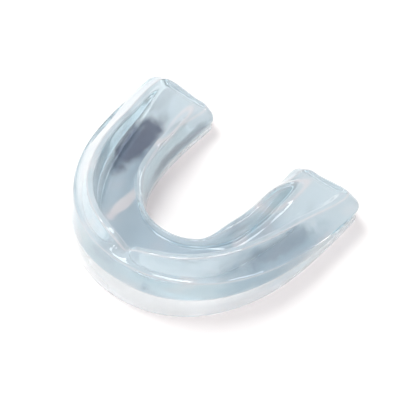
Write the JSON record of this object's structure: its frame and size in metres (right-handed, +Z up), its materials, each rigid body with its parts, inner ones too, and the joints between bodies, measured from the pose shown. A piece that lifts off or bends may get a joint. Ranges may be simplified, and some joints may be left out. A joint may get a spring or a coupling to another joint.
{
  "type": "mouthguard",
  "caption": "Clear U-shaped boil-and-bite mouthguard with a firm outer shell under a softer fit tray for the upper teeth.",
  "frame": {"origin": "centre of the bounding box's underside, on the plane of symmetry", "axes": "+X across the mouth, -Y towards the lips, +Y towards the throat, +Z up from the flat bite side into the tooth trough"},
  "size_m": [0.0654, 0.0558, 0.0177],
  "materials": {
    "outer_shell": "clear glossy moulded EVA",
    "fit_liner": "clear glossy thermoplastic EVA"
  },
  "bodies": {
    "root": {"outer_shell": "outer_shell", "fit_liner": "fit_liner"}
  },
  "joints": []
}
